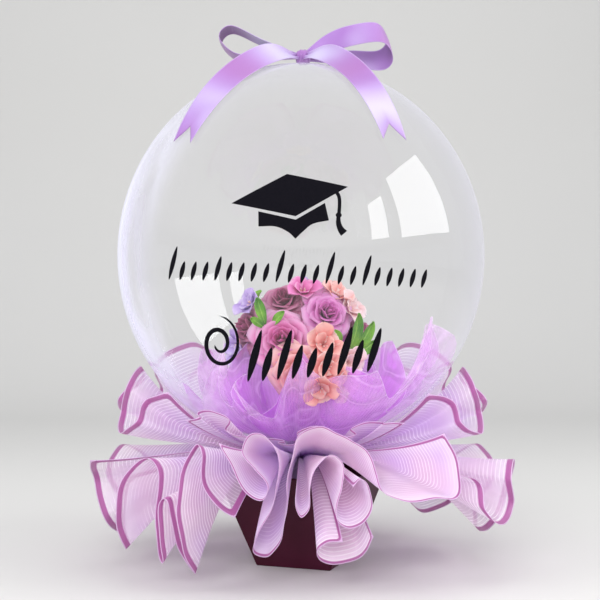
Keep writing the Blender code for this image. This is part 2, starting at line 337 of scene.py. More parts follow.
def card_finish():
    """Dark maroon card: faint fibres, a little lighter and redder in drifts."""
    card = Finish("dark maroon card")
    drift = card.noise(14.0)
    fibres = card.noise(900.0, 2.0)
    colour = card.mix(drift.rise(0.35, 0.7), rgb(0.044, 0.0025, 0.013), rgb(0.064, 0.0050, 0.022))
    return card.done(card.principled(
        Base_Color=colour,
        Roughness=0.46 + 0.14 * fibres,
        Normal=card.bump(fibres, 0.25, 0.0004),
        Specular_IOR_Level=0.25,
    ))


def film_finish():
    """Clear stretch film: see-through, with a mirror gloss and a lavender white rim at a low angle."""
    film = Finish("clear stretch film")
    facing = film.node("ShaderNodeLayerWeight", None, {"Blend": 0.5}, "Facing")
    across, up = (film.node("ShaderNodeSeparateXYZ", None, {0: film.place()}, k) for k in (0, 2))
    drawn_out = film.node("ShaderNodeMapping", None, {"Vector": film.place(), "Scale": (1.0, 1.0, 0.22)})
    streaks = film.noise(15.0, 1.5, drawn_out)
    # painted glow: the film is made lighter on its left side, where light catches it
    left = 1 - across.rise(-0.17, -0.05)
    low = 1 - up.rise(0.34, 0.52)
    # the cloudy band: creases in the film low down, as streaks, plus painted glow on the left side
    band = facing.rise(0.36, 0.80) * left * (0.25 + 0.75 * low) * streaks.rise(0.38, 0.62)
    # the lavender white rim at a low angle, painted stronger on the left side
    rim = facing**4 * (0.40 + 0.30 * left)
    outline = facing.rise(0.90, 0.985)
    clear = film.node("ShaderNodeBsdfTransparent", None, {"Color": rgb(0.985, 0.985, 0.99)})
    cloudy = film.principled(Base_Color=rgb(0.84, 0.84, 1.0), Roughness=0.35)
    mirror = film.principled(Base_Color=rgb(1.0, 1.0, 1.0), Metallic=1.0, Roughness=0.015)
    body = film.mixed(0.78 * band + rim + 0.25 * outline, clear, cloudy)
    return film.done(film.mixed(0.052 + 0.45 * facing**5, body, mirror))


def gauze_finish(name, cover, rib, band_width, warm):
    """Ribbed gauze: pale ribs along the hem that show in drifts, fine threads, and a satin edge.

    The UV map is in metres, along the hem and in from it. tone is the distance from the nearest edge.
    cover is the share of what lies behind that the cloth hides, rib is how strongly its ribs show,
    band_width is the satin edge's, and warm leans the cloth from lilac to pink.
    """
    gauze = Finish(name)
    along, inwards = gauze.map()
    edge = gauze.tone()
    band = 1 - edge.rise(band_width, band_width + 0.0008)
    # a painted highlight along the outer rim of the satin edge
    painted_edge_highlight = 1 - edge.rise(0.0007, 0.0013)
    ribs = inwards.wave(RIB_SPACING) ** 7
    threads = along.wave(THREAD_SPACING) * 0.5 + inwards.wave(THREAD_SPACING) * 0.5
    drift = gauze.noise(10.0, 2.0)
    shown = ribs * gauze.noise(15.0, 2.0).rise(0.34, 0.58) * rib
    lilac = gauze.mix(drift.rise(0.35, 0.65), rgb(0.77, 0.59, 0.90), rgb(0.85, 0.66, 0.86))
    cloth = gauze.mix(warm * drift.rise(0.2, 0.8), lilac, rgb(0.92, 0.72, 0.79))
    # painted shading: the cloth is painted paler near the edge and deeper inside
    pale = 1 - edge.rise(band_width + 0.001, band_width + 0.022)
    cloth = gauze.mix(pale * 0.45, cloth, rgb(0.96, 0.89, 0.96))
    cloth = gauze.mix(shown, cloth, rgb(0.98, 0.95, 0.98))
    satin = gauze.mix(painted_edge_highlight, rgb(0.54, 0.18, 0.45), rgb(0.86, 0.64, 0.88))
    colour = gauze.mix(band, cloth, satin)
    relief = gauze.bump(shown * (1 - band) + threads * 0.15, 0.25, 0.0005)
    surface = gauze.principled(
        Base_Color=colour, Roughness=0.62 - 0.3 * band, Normal=relief, Sheen_Weight=0.35,
    )
    hidden = (cover + 0.22 * shown + 0.04 * threads) * (1 - band) + 0.90 * band
    return gauze.done(gauze.sheer(surface, colour, relief, 0.46, hidden))


def satin_finish():
    """Lilac satin: smooth, with a painted sheen and a painted plum shade that come and go along it, as
    light does on a bent ribbon.

    The UV map is in metres, along the ribbon from the knot and across it."""
    satin = Finish("lilac satin")
    along, _ = satin.map()
    threads = along.wave(0.00035)
    drift = satin.noise(18.0, 2.0)
    colour = satin.mix(drift.rise(0.3, 0.7), rgb(0.28, 0.13, 0.40), rgb(0.35, 0.19, 0.49))
    # painted shade: a darker plum that comes round along the ribbon
    painted_plum_shade = (along - PAINTED_SHADE_START).wave(PAINTED_LIGHT_SPACING) ** 2 * satin.noise(9.0, 1.0).rise(0.35, 0.55)
    colour = satin.mix(painted_plum_shade * 0.8, colour, rgb(0.29, 0.11, 0.33))
    # painted sheen: a pale lilac highlight that comes round along the ribbon
    painted_sheen = (along - PAINTED_SHEEN_START).wave(PAINTED_LIGHT_SPACING) ** 2 * satin.noise(11.0, 1.0).rise(0.38, 0.60)
    colour = satin.mix(painted_sheen * 0.8, colour, rgb(0.55, 0.52, 0.72))
    selvedge = 1 - satin.tone().rise(0.0006, 0.0012)
    colour = satin.mix(selvedge * 0.4, colour, rgb(0.54, 0.40, 0.70))
    return satin.done(satin.principled(
        Base_Color=colour,
        Roughness=0.34 + 0.1 * drift,
        Normal=satin.bump(threads, 0.15, 0.0002),
        Sheen_Weight=0.15,
        Anisotropic=0.5,
    ))


def petal_finish(name, painted_shade_foot, middle, pale):
    """A cloth petal: painted shade makes it deep at its foot, in the creases, and a painted highlight pales
    the rims of the outer petals; it has fine veins. tone is the petal's share.
    """
    petal = Finish(name)
    across, up = petal.map()
    veins = across.wave(0.055) ** 3
    blotch = petal.noise(70.0)
    # painted shade: darker towards the foot, where the creases are
    body = petal.mix(up.rise(0.10, 0.90), rgb(*painted_shade_foot), rgb(*middle))
    # painted highlight on the rims of the outer petals
    body = petal.mix(petal.tone().rise(0.1, 1.0) * up.rise(0.70, 1.0), body, rgb(*pale))
    body = petal.mix(blotch.rise(0.45, 0.75) * 0.30, body, rgb(*pale))
    surface = petal.principled(
        Base_Color=body,
        Roughness=0.55 + 0.15 * blotch,
        Normal=petal.bump(veins * 0.5 + blotch, 0.35, 0.0006),
        Sheen_Weight=0.1,
    )
    glow = petal.node("ShaderNodeBsdfTranslucent", None, {"Color": body})
    return petal.done(petal.mixed(0.38, surface, glow))


def leaf_finish():
    """A leaf: mid green with a pale rib and side veins."""
    leaf = Finish("leaf green")
    across, up = leaf.map()
    rib = abs(across - 0.5)
    veins = (up + rib * 0.8).wave(0.11) ** 4
    blotch = leaf.noise(60.0)
    colour = leaf.mix(blotch.rise(0.3, 0.7), rgb(0.030, 0.17, 0.008), rgb(0.17, 0.40, 0.020))
    colour = leaf.mix((1 - rib.rise(0.015, 0.05)) * 0.7 + veins * 0.2, colour, rgb(0.32, 0.54, 0.10))
    relief = leaf.bump(veins - 2 * (1 - rib.rise(0.0, 0.05)), 0.4, 0.0005)
    return leaf.done(leaf.principled(Base_Color=colour, Roughness=0.42, Normal=relief))


def tulle_finish(name, colour, pale, cover):
    """Fine net: see-through, with soft threads, crumples with painted highlights on their ridges, a paler
    drift, a pale cut edge and a faint painted glow of its own colour. cover is the share it hides. tone is
    the distance in from the rim."""
    tulle = Finish(name)
    along, inwards = tulle.map()
    net = along.wave(NET_SPACING) * inwards.wave(NET_SPACING)
    drift = tulle.noise(16.0, 2.0)
    fold = abs(tulle.noise(20.0, 1.0) - 0.5)
    ridge = 1 - fold.rise(0.0, 0.035)
    rim = 1 - tulle.tone().rise(0.0004, 0.0016)
    body = tulle.mix(drift.rise(0.35, 0.7), rgb(*colour), rgb(*pale))
    # painted highlights on the crumple ridges, and the pale cut edge
    body = tulle.mix(0.35 * ridge + 0.55 * rim, body, rgb(0.94, 0.82, 0.98))
    relief = tulle.bump(fold.rise(0.0, 0.12), 0.8, 0.006)
    surface = tulle.principled(
        Base_Color=body, Roughness=0.7, Sheen_Weight=0.4, Normal=relief,
        # a faint painted glow of the net's own colour, standing in for light shining through it
        Emission_Color=body, Emission_Strength=0.12,
    )
    hidden = cover + 0.10 * net + 0.14 * ridge + 0.20 * rim
    return tulle.done(tulle.sheer(surface, body, relief, 0.5, hidden))


def vinyl_finish():
    """Black vinyl: nearly even, with a soft gloss."""
    vinyl = Finish("black vinyl")
    grain = vinyl.noise(500.0, 2.0)
    colour = vinyl.mix(grain, rgb(0.003, 0.003, 0.005), rgb(0.007, 0.006, 0.009))
    return vinyl.done(vinyl.principled(
        Base_Color=colour,
        Roughness=0.46 + 0.1 * grain,
        Normal=vinyl.bump(grain, 0.1, 0.0001),
        Specular_IOR_Level=0.04,
    ))


def floor_finish():
    """The studio's plain pale floor."""
    floor = Finish("pale floor")
    colour = floor.mix(floor.noise(1.5, 2.0), rgb(0.61, 0.603, 0.585), rgb(0.6344, 0.62712, 0.6084))
    return floor.done(floor.principled(Base_Color=colour, Roughness=0.75))


# Film


def film_profile(rows):
    """Radius and height from the top down: an ellipse, then a smooth run into the neck and its foot."""
    half_width, _, half_height = BALLOON_HALF
    angle = np.linspace(0, math.pi - NECK_JOIN_ANGLE, rows)
    ball = joined(half_width * np.sin(angle), BALLOON_MIDDLE + half_height * np.cos(angle))
    join_radius, join_height = ball[-1]
    foot = POT_WALL + GAP
    length = join_height - foot
    neck = curve_through([
        (join_radius, join_height),
        (NECK_TOP_RADIUS + (join_radius - NECK_TOP_RADIUS) * 0.35, join_height - length * 0.03),
        (NECK_TOP_RADIUS, join_height - length * 0.10),
        (NECK_WAIST_RADIUS, join_height - length * 0.35),
        (NECK_WAIST_RADIUS, join_height - length * 0.70),
        (NECK_FOOT_RADIUS * 0.96, foot),
    ], 6)
    return np.vstack([ball, neck[1:], [(0.0, foot)]])


def bubble():
    """The film: the profile turned round the axis, with pleats that grow into the gathered neck."""
    radius, height = film_profile(84).T
    turn = np.linspace(0, 360, 145)
    below = np.clip((BALLOON_MIDDLE - BALLOON_HALF[2] * 0.93 - height) / 0.03, 0, 1)
    near_knot = np.exp(-(((BALLOON_TOP - height) / 0.004) ** 2))
    pleats = 0.045 * below[:, None] * np.cos(18 * np.radians(turn)) * (radius > 0)[:, None]
    pucker = 0.02 * near_knot[:, None] * np.cos(12 * np.radians(turn))
    radii = radius[:, None] * (1 - np.abs(pleats) + pleats * 0.5 + pucker)
    grid = around(turn, radii, height[:, None])
    piece = build("film_bubble", [grid], film_finish(), closed=True)
    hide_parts("balloon")


# Collar


def fall_heading(distance):
    """Slope of the lowest cloth at a distance from the ring: out and up, then over the rim and down."""
    run = FALL_RUN * POT_RIM / math.sqrt(2)
    return FALL_END + (FALL_START - FALL_END) * np.exp(-((distance / run) ** FALL_SHARPNESS))


def ring_point(lay):
    """Radius and height of the gathered ring: lay 0 is outside and low, lay 1 inside and high."""
    inner = HUG_HALF_WIDTH * math.sin(NECK_JOIN_ANGLE)
    upper = BALLOON_MIDDLE - HUG_HALF_HEIGHT * math.cos(NECK_JOIN_ANGLE)
    lower = POT_HEIGHT + RING_LIFT
    return RING_RADIUS + (inner - RING_RADIUS) * lay, lower + (upper - lower) * lay


def cloth_point(azimuth, lay, reach, samples=40):
    """Where a thread of the collar is.

    lay is 1 for cloth that hugs the balloon's underside and 0 for cloth that falls over the pot. The
    heading is mixed between the two by lay and summed along the thread. Cloth that would hang lower than
    the table bends out along it.
    """
    distance = reach[..., None] * np.linspace(0, 1, samples)
    hug = NECK_JOIN_ANGLE + distance * 2 / (HUG_HALF_WIDTH + HUG_HALF_HEIGHT)
    fall = fall_heading(distance)
    heading = fall + (hug - fall) * lay[..., None]
    step = reach / (samples - 1)
    out, up = np.cos(heading), np.sin(heading)
    radius = ((out[..., 1:] + out[..., :-1]) / 2).sum(axis=-1) * step
    height = ((up[..., 1:] + up[..., :-1]) / 2).sum(axis=-1) * step
    ring_radius, ring_height = ring_point(lay)
    over = height + ring_height - TABLE_LIFT
    height = TABLE_LIFT + (over + np.sqrt(over**2 + TABLE_SOFTNESS**2)) / 2
    return around(azimuth, radius + ring_radius, height)


def even_folds(start, end, count, lays, reaches):
    """Folds at even azimuths whose lay alternates, with a reach that grows evenly along the sheet."""
    share = np.linspace(0, 1, count)
    azimuths = start + (end - start) * share
    shares = reaches[0] + (reaches[1] - reaches[0]) * share
    return [(azimuths[k], lays[k % 2], shares[k]) for k in range(count)]


def folded(folds):
    """The hem's points for a row of folds.

    Each fold has a shoulder on each side of its tip, FOLD_FULLNESS of the way to the next fold, so that
    neighbouring folds bulge past each other.
    """
    folds = np.array(folds, dtype=float)
    shoulders = np.diff(folds, axis=0) * np.array([FOLD_FULLNESS, FOLD_SHOULDER, FOLD_SHOULDER])
    keys = [folds[0]]
    for k, step in enumerate(shoulders):
        keys += [folds[k] + step, folds[k + 1] - step, folds[k + 1]]
    return keys


def at_share(share, points):
    """Hem points that all have one share of the reach."""
    return [(azimuth, lay, share) for azimuth, lay in points]


# Along a sheet's hem, each point or fold is its azimuth in degrees, its lay and its share of the reach
SHEETS = {
    "wrap_front_left": [
        (-66, 0.56, 0.80), (-64, 0.38, 0.92), (-59, 0.33, 0.97), (-56, 0.45, 0.97),
        (-53, 0.59, 0.92), (-48.5, 0.66, 0.84), (-45.5, 0.60, 0.80), (-44.5, 0.46, 0.86),
        (-43.5, 0.31, 0.95), (-41, 0.34, 0.95), (-41, 0.50, 0.88), (-38.5, 0.50, 0.86),
        (-38.5, 0.32, 0.88), (-37, 0.19, 0.90), (-35.5, 0.32, 0.90), (-35.5, 0.50, 0.86),
        (-36, 0.66, 0.78), (-34, 0.745, 0.75), (-31.5, 0.70, 0.75), (-30.5, 0.55, 0.75),
        (-27, 0.46, 0.74), (-22, 0.37, 0.71),
    ],
    "wrap_front_right": at_share(0.75, [
        (-25.5, 0.76), (-22, 0.68), (-16, 0.53), (-11.5, 0.50), (-10, 0.57), (-13.5, 0.65),
        (-18, 0.72), (-16, 0.80), (-11, 0.80), (-7, 0.72), (-7, 0.57), (-10, 0.42), (-15.5, 0.27),
        (-16.5, 0.17), (-12, 0.15), (-7.5, 0.25), (-4.5, 0.42), (-4, 0.58), (-2.5, 0.72), (0, 0.81),
        (6, 0.85), (11, 0.81), (15.5, 0.78), (20, 0.73), (23, 0.62),
    ]) + [
        (24.5, 0.54, 0.78), (29, 0.52, 0.84), (36, 0.54, 0.92), (42.5, 0.55, 0.95), (42, 0.65, 0.95),
        (39, 0.75, 0.94),
    ],
    "wrap_front_middle": at_share(0.81, [
        (-1, 0.58), (-1.5, 0.50), (0, 0.455), (2, 0.49), (2.5, 0.57), (4, 0.66), (8, 0.71),
        (11.5, 0.67), (11.5, 0.59), (9.8, 0.51), (10.5, 0.44), (14, 0.40), (18, 0.42), (20, 0.49),
        (19, 0.58), (16.5, 0.61), (14.5, 0.58),
    ]),
    "wrap_front_foot": [
        (13, 0.31, 0.79), (8, 0.31, 0.79), (5, 0.26, 0.79), (7, 0.19, 0.79),
        (12, 0.15, 0.79), (19, 0.18, 0.79), (21.5, 0.26, 0.80), (22, 0.35, 0.81),
    ],
    "wrap_front_high": folded([
        (-49, 0.90, 0.650), (-39, 1.00, 0.625), (-27, 0.89, 0.500), (-17, 1.00, 0.360),
        (-6, 0.92, 0.350), (5, 1.02, 0.490), (19, 0.90, 0.460), (31, 1.00, 0.525), (44, 0.90, 0.625),
    ]),
    "wrap_right_low": folded([
        (49, 0.60, 0.84), (62, 0.44, 1.03), (74, 0.62, 0.98), (94, 0.30, 0.95), (114, 0.61, 0.96),
        (132, 0.30, 0.95), (149, 0.60, 0.95),
    ]),
    "wrap_left_low": folded(even_folds(-76, -150, 5, (0.61, 0.30), (0.96, 0.95))),
    "wrap_back": folded(even_folds(154, 206, 5, (0.60, 0.28), (0.95, 0.95))),
    "wrap_left_high": folded(even_folds(-56, -176, 7, (0.98, 0.73), (0.76, 1.16))),
    "wrap_right_high": folded(even_folds(52, 176, 7, (0.98, 0.73), (0.76, 1.16))),
}


def hem_line(keys, steps):
    """Azimuth, lay and reach along a sheet's hem."""
    azimuth, lay, share = curve_through(keys, steps).T
    return azimuth, lay, COLLAR_REACH * share


def gauze_sheet(name, keys, finish):
    """A gathered sheet: threads from inside the pot up to the ring, then out to the hem.

    Small pleats stand along the normal at the ring and die away outwards. A faint ripple follows the hem.
    """
    azimuth, lay, reach = hem_line(keys, 14)
    ring_radius, ring_height = ring_point(lay)
    tuck_share = np.linspace(0, 1, 5)[:-1, None]
    narrowing = TUCK_NARROWING + (1 - TUCK_NARROWING) * tuck_share
    tucked = around(azimuth, ring_radius * narrowing, ring_height - TUCK_DEPTH * (1 - tuck_share))
    shares = np.linspace(0, 1, 30)
    cloth = np.stack([cloth_point(azimuth, lay, reach * share) for share in shares])
    grid = np.concatenate([tucked, cloth])
    hem = run_length(grid[-1])
    share = np.concatenate([np.zeros(len(tuck_share)), shares])[:, None]
    near_ring = np.exp(-(((share - 0.10) / 0.16) ** 2))
    pleats = PLEAT_DEPTH * np.sin(hem * (2 * math.pi / PLEAT_SPACING)) * near_ring
    ripple = RIPPLE_DEPTH * np.sin(hem * (2 * math.pi / RIPPLE_SPACING) + 1.0) * share**2
    grid = grid + grid_normals(grid) * (pleats + ripple)[..., None]
    inwards = np.concatenate([reach + TUCK_DEPTH * (1 - tuck_share), reach * (1 - shares[:, None])])
    from_side = np.minimum(hem, hem[-1] - hem) * (0.25 + 0.75 * share)
    edge = np.minimum(inwards, from_side)
    uv = joined(hem, inwards)
    piece = build(name + "_gauze", [grid], finish, [uv], [edge], thickness=GAUZE_THICKNESS)
    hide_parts(name)


# Ribbon bow


def half_widths(count, narrow_end):
    """Half the ribbon's width along a strip that is pinched at its start, and at its end if asked."""
    share = np.linspace(0, 1, count)
    pinch = np.exp(-((share / 0.13) ** 2))
    if narrow_end:
        pinch = pinch + np.exp(-(((1 - share) / 0.13) ** 2))
    return RIBBON_WIDTH / 2 * (1 - 0.62 * pinch)


def ribbon_grid(middle, across, notch=0.0):
    """A strip about a middle line: half-width vectors across it, with a slight crown and pinch folds.

    A notch pulls the threads back from the end, most in the middle.
    """
    place = np.linspace(-1, 1, 17)
    grid = middle[:, None] + across[:, None] * place[None, :, None]
    run = run_length(middle)
    share = run / run[-1]
    pull = notch * (1 - np.abs(place)) * np.clip((share[:, None] - 0.75) / 0.25, 0, 1)
    grid = grid - unit(np.gradient(middle, axis=0))[:, None] * pull[..., None]
    normals = grid_normals(grid)
    near_knot = np.exp(-((run / 0.016) ** 2))
    folds = RIBBON_FOLDS * near_knot[:, None] * np.sin(place * 6.5 + 0.6)
    crown = RIBBON_CROWN * (1 - place**2) * (1 - near_knot[:, None])
    grid = grid + normals * (folds + crown)[..., None]
    width = np.linalg.norm(across, axis=1)[:, None]
    return grid, joined(run[:, None], width * place), width * (1 - np.abs(place))


def knot_middle():
    return np.array([BALLOON_SHIFT + KNOT_SHIFT, -0.002, BALLOON_TOP + GAP + KNOT_SIZE[2]])


def loop(offsets, across, steps):
    """A loop of ribbon: a smooth closed run through offsets from the knot."""
    middle = curve_through([knot_middle() + np.array(offset) for offset in offsets], steps)
    direction = np.array(across) / np.linalg.norm(across)
    return ribbon_grid(middle, half_widths(len(middle), True)[:, None] * direction)


def tail(azimuths):
    """A tail from the knot down over the balloon's shoulder, between two azimuths in degrees. It leaves
    the knot twisted towards the front and lies flatter on the film at its end."""
    count = 60
    share = np.linspace(0, 1, count)
    azimuth = azimuths[0] + (azimuths[1] - azimuths[0]) * share
    angle = 0.03 + (TAIL_SPAN - 0.03) * share
    radius = BALLOON_WIDTH / 2 * np.sin(angle)
    base = around(azimuth, radius, BALLOON_MIDDLE + BALLOON_HEIGHT / 2 * np.cos(angle))
    turn = np.radians(azimuth)
    outward = joined(np.sin(turn) * np.sin(angle), -np.cos(turn) * np.sin(angle), np.cos(angle))
    twist = (TAIL_TWIST * (1 - share**3))[:, None]
    facing = outward * (1 - twist) + np.array([0.0, -1.0, 0.0]) * twist
    across = np.cross(facing, np.gradient(base, axis=0))
    across = across / np.linalg.norm(across, axis=1)[:, None] * half_widths(count, False)[:, None]
    lean = np.abs((across * outward).sum(axis=1))
    lift = TAIL_LIFT + lean + 0.003 * np.exp(-((share / 0.25) ** 2))
    middle = base + outward * lift[:, None]
    return ribbon_grid(middle, across, NOTCH_DEPTH)


def knot_band():
    """The wrap round the middle: a barrel about the X axis with folds along its turn."""
    place = np.linspace(-1, 1, 29)
    turn = np.linspace(0, 2 * math.pi, 49)
    barrel = (1 - np.abs(place) ** 2.6) ** (1 / 2.6)
    folds = 1 - 0.055 * np.cos(place * 11.0)[:, None] * (1 + 0.4 * np.sin(2 * turn + 1))[None]
    radius = barrel[:, None] * folds
    offset = joined(place[:, None], radius * np.cos(turn), radius * np.sin(turn)) * KNOT_SIZE
    # the UV map starts 0.1 along, so most of the knot falls in the satin's painted plum shade
    uv = joined(0.1 + 0.009 * turn, 0.008 * place[:, None])
    return knot_middle() + offset, uv, np.full(radius.shape, 0.004)


def ribbon_bow(finish):
    left_run = [
        (0, 0, 0), (-0.044, 0.000, 0.016), (-0.078, 0.002, 0.031), (-0.091, 0.004, 0.019),
        (-0.072, 0.004, 0.001), (-0.034, 0.002, 0.001), (0, 0, 0),
    ]
    right_run = [
        (0, 0, 0), (0.024, -0.004, 0.013), (0.052, -0.010, 0.022), (0.084, -0.006, 0.026),
        (0.096, 0.010, 0.012), (0.086, 0.020, 0.001), (0.050, 0.016, 0.002), (0, 0, 0),
    ]
    strips = [
        loop(left_run, (0.05, 1.0, -0.12), 14),
        loop(right_run, (0.22, -0.45, -0.86), 14),
        tail((-31, -43)),
        tail((30, 32)),
    ]
    grids, uvs, edges = zip(*strips)
    bow = build("bow_ribbon", list(grids), finish, list(uvs), list(edges), thickness=RIBBON_THICKNESS)
    band, band_uv, band_edge = knot_band()
    knot = build("bow_knot", [band], finish, [band_uv], [band_edge], closed=True)
    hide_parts("ribbon_bow")
    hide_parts("ribbon_bow")


# What is sealed in the film


def keep_inside(points, clearance=0.985, power=26):
    """Points eased back inside the film: their distance from its centre, with the film at 1, is r, and
    it is divided by the power-th root of 1 plus (r / clearance) to that power."""
    offset = (points - BALLOON_CENTRE) / BALLOON_HALF
    r = np.linalg.norm(offset, axis=-1, keepdims=True)
    return BALLOON_CENTRE + offset / (1 + (r / clearance) ** power) ** (1 / power) * BALLOON_HALF


def tulle_cup(name, foot, reach, headings, folds, depth, points, finish, wing=0.0, wing_azimuth=60.0):
    """A ruffled round of net: from its foot its slope runs between two headings, and a sum of waves
    round it swings the slope, more towards the rim. The rim has pointed corners, and a wing reaches
    farther at one azimuth."""
    turn = np.linspace(0, 360, 361)
    angle = np.radians(turn)
    share = np.linspace(0.04, 1, 34)[:, None]
    swing = (
        np.sin(folds * angle + 0.7)
        + 0.5 * np.sin((2 * folds + 1) * angle + 2.1)
        + 0.3 * np.sin((3 * folds - 2) * angle + 4.0)
    )
    corner = 2 / math.pi * np.arcsin(np.sin(points * angle + 1.3))
    long = reach * (1 + 0.18 * corner + wing * np.exp(-((np.radians(turn - wing_azimuth)) ** 2) / 0.5))
    heading = headings[0] + (headings[1] - headings[0]) * share + depth * swing * share**0.7
    step = long / len(share)
    radius = 0.006 + np.cumsum(np.cos(heading) * step, axis=0)
    height = np.cumsum(np.sin(heading) * step, axis=0)
    grid = around(turn, radius, height + foot[2]) + np.array([foot[0], foot[1], 0.0])
    grid = keep_inside(grid)
    uv = joined(angle * 0.05, share * long)
    piece = build(name, [grid], finish, [uv], [(1 - share) * long], thickness=GAUZE_THICKNESS)
    return piece


def rose_grids(centre, facing, size, count, phase):
    """A rose: petals stand in a spiral of golden angles. From the heart outwards each petal opens from
    upright to flat, grows wider in reach and lower, and rolls back at its rim."""
    side, over, ahead = axes_facing(facing)
    across = np.linspace(-1, 1, 11)[None, :]
    up = np.linspace(0, 1, 11)[:, None]
    grids, tones = [], []
    for k in range(count):
        share = k / (count - 1)
        azimuth = GOLDEN_ANGLE * k + phase
        half = 1.45 - 0.55 * share
        outline = np.sqrt(np.sin(math.pi * (0.12 + 0.80 * up)))
        turn = azimuth + half * across * outline
        opening = 0.06 + 0.50 * share
        radius = opening * np.sin(up * math.pi / 2) ** 0.75 + 0.46 * share**1.4 * up**3
        radius = radius + 0.05 * share * across**2 * up
        radius = radius + 0.025 * np.sin(3.1 * across + 1.7 * k) * up**2
        crown = 1 - 0.16 * across**2 + 0.05 * np.exp(-((across / 0.2) ** 2)) * share
        height = (0.98 - 0.52 * share) * up * crown - 0.34 * share**1.2 * up**4 - 0.15
        local = joined(radius * np.cos(turn), radius * np.sin(turn), height)
        grids.append(np.array(centre) + size * (local @ np.stack([side, over, ahead])))
        tones.append(np.full(grids[-1].shape[:2], share))
    return grids, tones


def blade_grid(root, facing, turn, length, width, headings, cup, blunt):
    """A petal or leaf: it runs out from its root at a turn about the facing axis, and its slope goes
    from one heading to the other. Its half width is the sine of the share along it, to a power that
    makes it blunt or pointed, and it is cupped by the square of the place across."""
    side, over, ahead = axes_facing(facing)
    across = np.linspace(-1, 1, 9)[None, :]
    up = np.linspace(0, 1, 13)[:, None]
    slope = headings[0] + (headings[1] - headings[0]) * up
    out = np.cumsum(np.cos(slope), axis=0) / len(up) * length
    rise = np.cumsum(np.sin(slope), axis=0) / len(up) * length
    half = width / 2 * np.sin(math.pi * (0.03 + 0.95 * up**blunt)) ** 0.8
    lift = rise + cup * half * across**2 + 0.04 * length * np.sin(across * 2.6 + 5 * up) * up**2
    away = math.cos(turn) * side + math.sin(turn) * over
    beside = -math.sin(turn) * side + math.cos(turn) * over
    return (
        np.array(root)
        + out[..., None] * away
        + (half * across)[..., None] * beside
        + lift[..., None] * ahead
    )


def blossom_grids(centre, facing, size, petals, phase, headings):
    """An open blossom: petals round a centre."""
    grids, tones = [], []
    for k in range(petals):
        turn = phase + 2 * math.pi * k / petals
        tip = 0.85 + 0.15 * math.cos(2.3 * k + phase)
        length, width = size * tip, size * PETAL_SLIMNESS
        grids.append(blade_grid(centre, facing, turn, length, width, headings, 0.5, 1.6))
        tones.append(np.full(grids[-1].shape[:2], 0.4 + 0.6 * (k % 3) / 2))
    return grids, tones


def stamen_grids(centre, facing, size, count, phase):
    """Stamens: short bent threads with a swollen tip."""
    side, over, ahead = axes_facing(facing)
    share = np.linspace(0, 1, 7)[:, None]
    thick = np.array([0.35, 0.3, 0.3, 0.3, 0.7, 0.9, 0.05]) * 0.0011
    grids = []
    for k in range(count):
        turn = phase + GOLDEN_ANGLE * k
        lean = 0.25 + 0.35 * (k / count)
        away = math.cos(turn) * side + math.sin(turn) * over
        path = np.array(centre) + size * (0.34 * share * ahead + lean * 0.5 * share**1.5 * away)
        grids.append(tube(path, thick, 6))
    return grids


# Roses: centre, facing direction, size and finish, in metres
ROSES = [
    ((-0.024, -0.054, 0.242), (-0.1, -0.95, 0.26), 0.04, "mauve"),
    ((-0.023, -0.026, 0.282), (-0.12, -0.7, 0.68), 0.03, "dusty"),
    ((0.02, -0.04, 0.27), (0.3, -0.88, 0.36), 0.033, "orchid"),
    ((-0.056, -0.026, 0.256), (-0.78, -0.58, 0.22), 0.03, "dusty"),
    ((-0.008, -0.066, 0.212), (0.05, -0.95, -0.2), 0.034, "blush"),
    ((-0.04, 0.034, 0.258), (-0.55, 0.75, 0.35), 0.035, "mauve"),
    ((0.022, 0.044, 0.256), (0.3, 0.9, 0.3), 0.036, "orchid"),
    ((0.052, 0.01, 0.248), (0.92, 0.25, 0.32), 0.03, "dusty"),
]

# Blossoms: centre, facing direction, petal length, petals and finish
BLOSSOMS = [
    ((-0.004, -0.032, 0.292), (0.1, -0.7, 0.72), 0.025, 5, "pink"),
    ((0.004, 0.02, 0.29), (0.1, 0.45, 0.9), 0.027, 5, "lilac"),
    ((-0.056, -0.03, 0.28), (-0.7, -0.6, 0.45), 0.024, 5, "lilac"),
    ((-0.068, -0.026, 0.236), (-0.9, -0.48, 0.05), 0.027, 5, "lilac"),
    ((0.044, -0.024, 0.274), (0.62, -0.66, 0.46), 0.025, 5, "cream"),
    ((0.03, -0.02, 0.288), (0.4, -0.52, 0.75), 0.025, 5, "peach"),
    ((0.017, -0.08, 0.24), (0.15, -0.98, 0.18), 0.028, 6, "coral"),
    ((0.021, -0.092, 0.219), (0.1, -0.98, -0.12), 0.028, 5, "coral"),
    ((0.014, -0.1, 0.199), (0.0, -0.95, -0.35), 0.025, 5, "coral"),
    ((0.041, -0.08, 0.222), (0.45, -0.88, 0.0), 0.026, 5, "cream"),
    ((0.036, -0.09, 0.202), (0.4, -0.88, -0.25), 0.024, 5, "cream"),
    ((-0.004, 0.056, 0.23), (0.0, 0.98, 0.05), 0.028, 5, "coral"),
    ((-0.062, 0.03, 0.236), (-0.9, 0.4, 0.1), 0.0255, 5, "peach"),
    ((0.052, 0.036, 0.23), (0.8, 0.6, 0.05), 0.0255, 5, "cream"),
]

